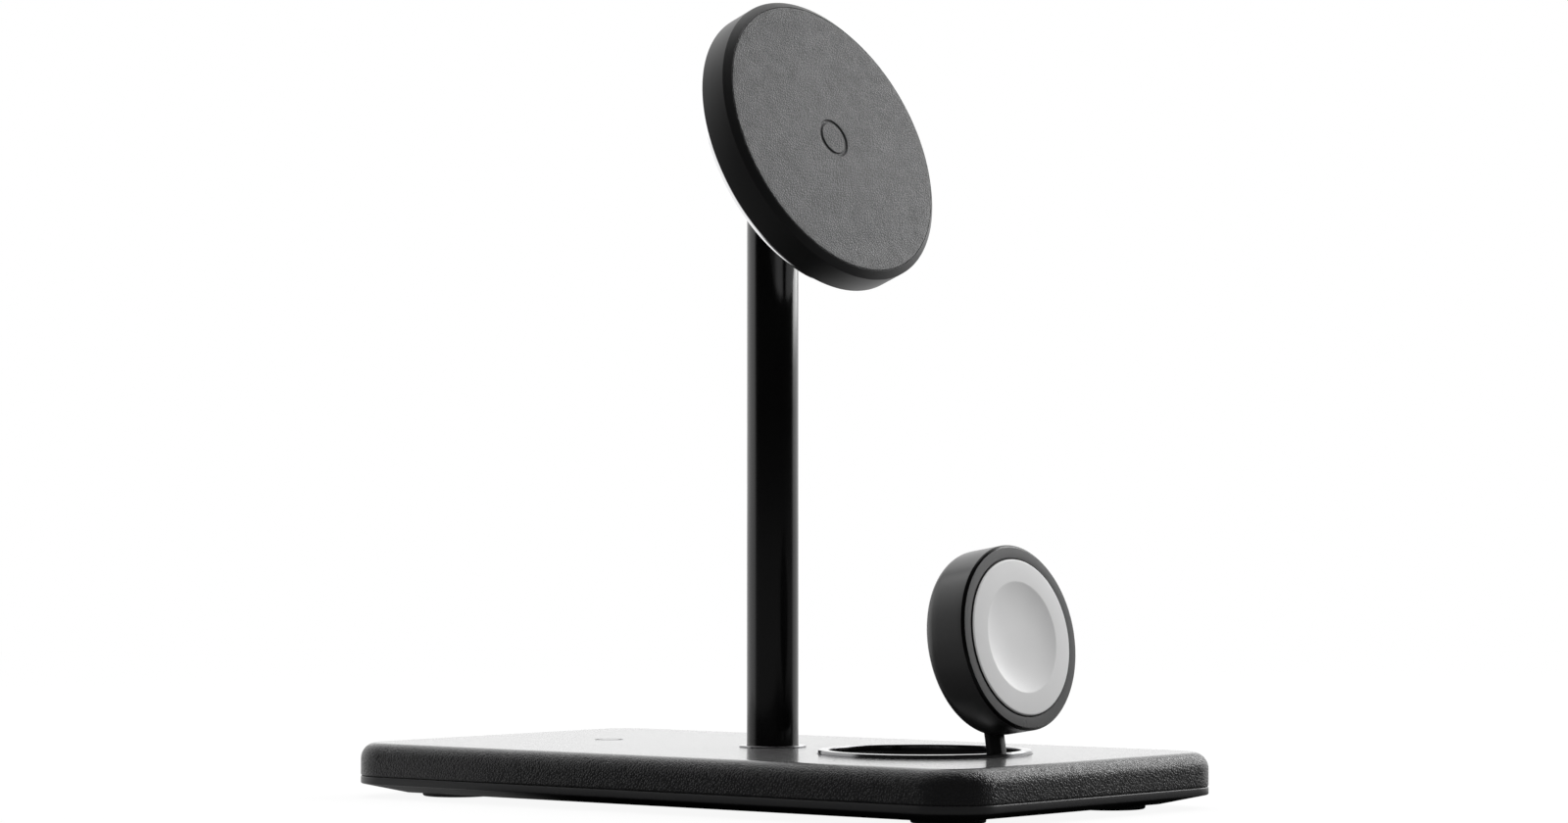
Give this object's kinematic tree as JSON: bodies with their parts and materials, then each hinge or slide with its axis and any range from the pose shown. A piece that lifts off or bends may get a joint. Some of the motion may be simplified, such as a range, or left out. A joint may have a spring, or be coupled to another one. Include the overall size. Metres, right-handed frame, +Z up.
{
  "type": "three in one wireless charger",
  "caption": "Leather-topped charging base with a tilting magnetic phone disc on a round post and a watch charging disc that folds into a round pocket.",
  "frame": {"origin": "on the table, under the middle of the base", "axes": "+Z up, +Y towards the rear with the power socket, -Y towards the watch end that the discs face, +X to the right seen from the front"},
  "size_m": [0.0804, 0.1474, 0.1483],
  "materials": {
    "grain_leather": "fine pebble grain, satin",
    "band_plastic": "smooth satin",
    "tray_plastic": "fine matt",
    "foot_rubber": "matt",
    "plain_steel": "zinc plated",
    "circuit_board": "solder mask",
    "chip_plastic": "moulded",
    "socket_metal": "nickel plated",
    "copper_wire": "enamelled wire",
    "ferrite": "sintered sheet",
    "magnet_nickel": "nickel plated",
    "black_metal": "satin black",
    "ring_metal": "polished black",
    "pocket_plastic": "matt",
    "rim_plastic": "soft satin",
    "bright_metal": "polished",
    "washer_bronze": "plain",
    "pale_plastic": "smooth",
    "lead_sleeve": "smooth",
    "plug_plastic": "moulded"
  },
  "bodies": {
    "base": {"base_cover": "grain_leather", "trim_band": "band_plastic", "bottom_tray": "tray_plastic", "rubber_feet": "foot_rubber", "case_screws": "plain_steel", "ballast_plate": "plain_steel", "hinge_bracket": "plain_steel", "bracket_screws": "plain_steel", "hinge_pin": "plain_steel", "post_clamp_plate": "plain_steel", "post_nut": "plain_steel", "tilt_pin": "plain_steel", "main_board": "circuit_board", "board_parts": "chip_plastic", "usb_tongue": "chip_plastic", "usb_socket": "socket_metal", "earbud_coil": "copper_wire", "earbud_ferrite": "ferrite", "post_tube": "black_metal", "post_knuckle": "black_metal", "pocket_ring": "ring_metal", "post_collar": "ring_metal", "pocket_liner": "pocket_plastic", "tilt_washers": "washer_bronze", "head_lead": "lead_sleeve", "lead_plug": "plug_plastic"},
    "head": {"head_pad": "grain_leather", "head_rim": "rim_plastic", "head_back_shell": "bright_metal", "head_magnets": "magnet_nickel", "head_coil": "copper_wire", "head_ferrite": "ferrite", "head_board": "circuit_board", "head_lug": "black_metal", "lug_screws": "plain_steel"},
    "watch": {"disc_housing": "rim_plastic", "disc_face": "pale_plastic", "disc_coil": "copper_wire", "disc_magnet": "magnet_nickel", "disc_ferrite": "ferrite", "disc_board": "circuit_board", "hinge_arm": "black_metal"}
  },
  "joints": [
    {"name": "head_tilt", "type": "hinge", "parent": "base", "child": "head", "pos_m": [0, 0.0008, 0.1169], "axis": [-1, 0, 0], "range_deg": [-21.5, 23.5]},
    {"name": "watch_fold", "type": "hinge", "parent": "base", "child": "watch", "pos_m": [0, -0.05766, 0.00865], "axis": [-1, 0, 0], "range_deg": [0, 80.8]}
  ]
}
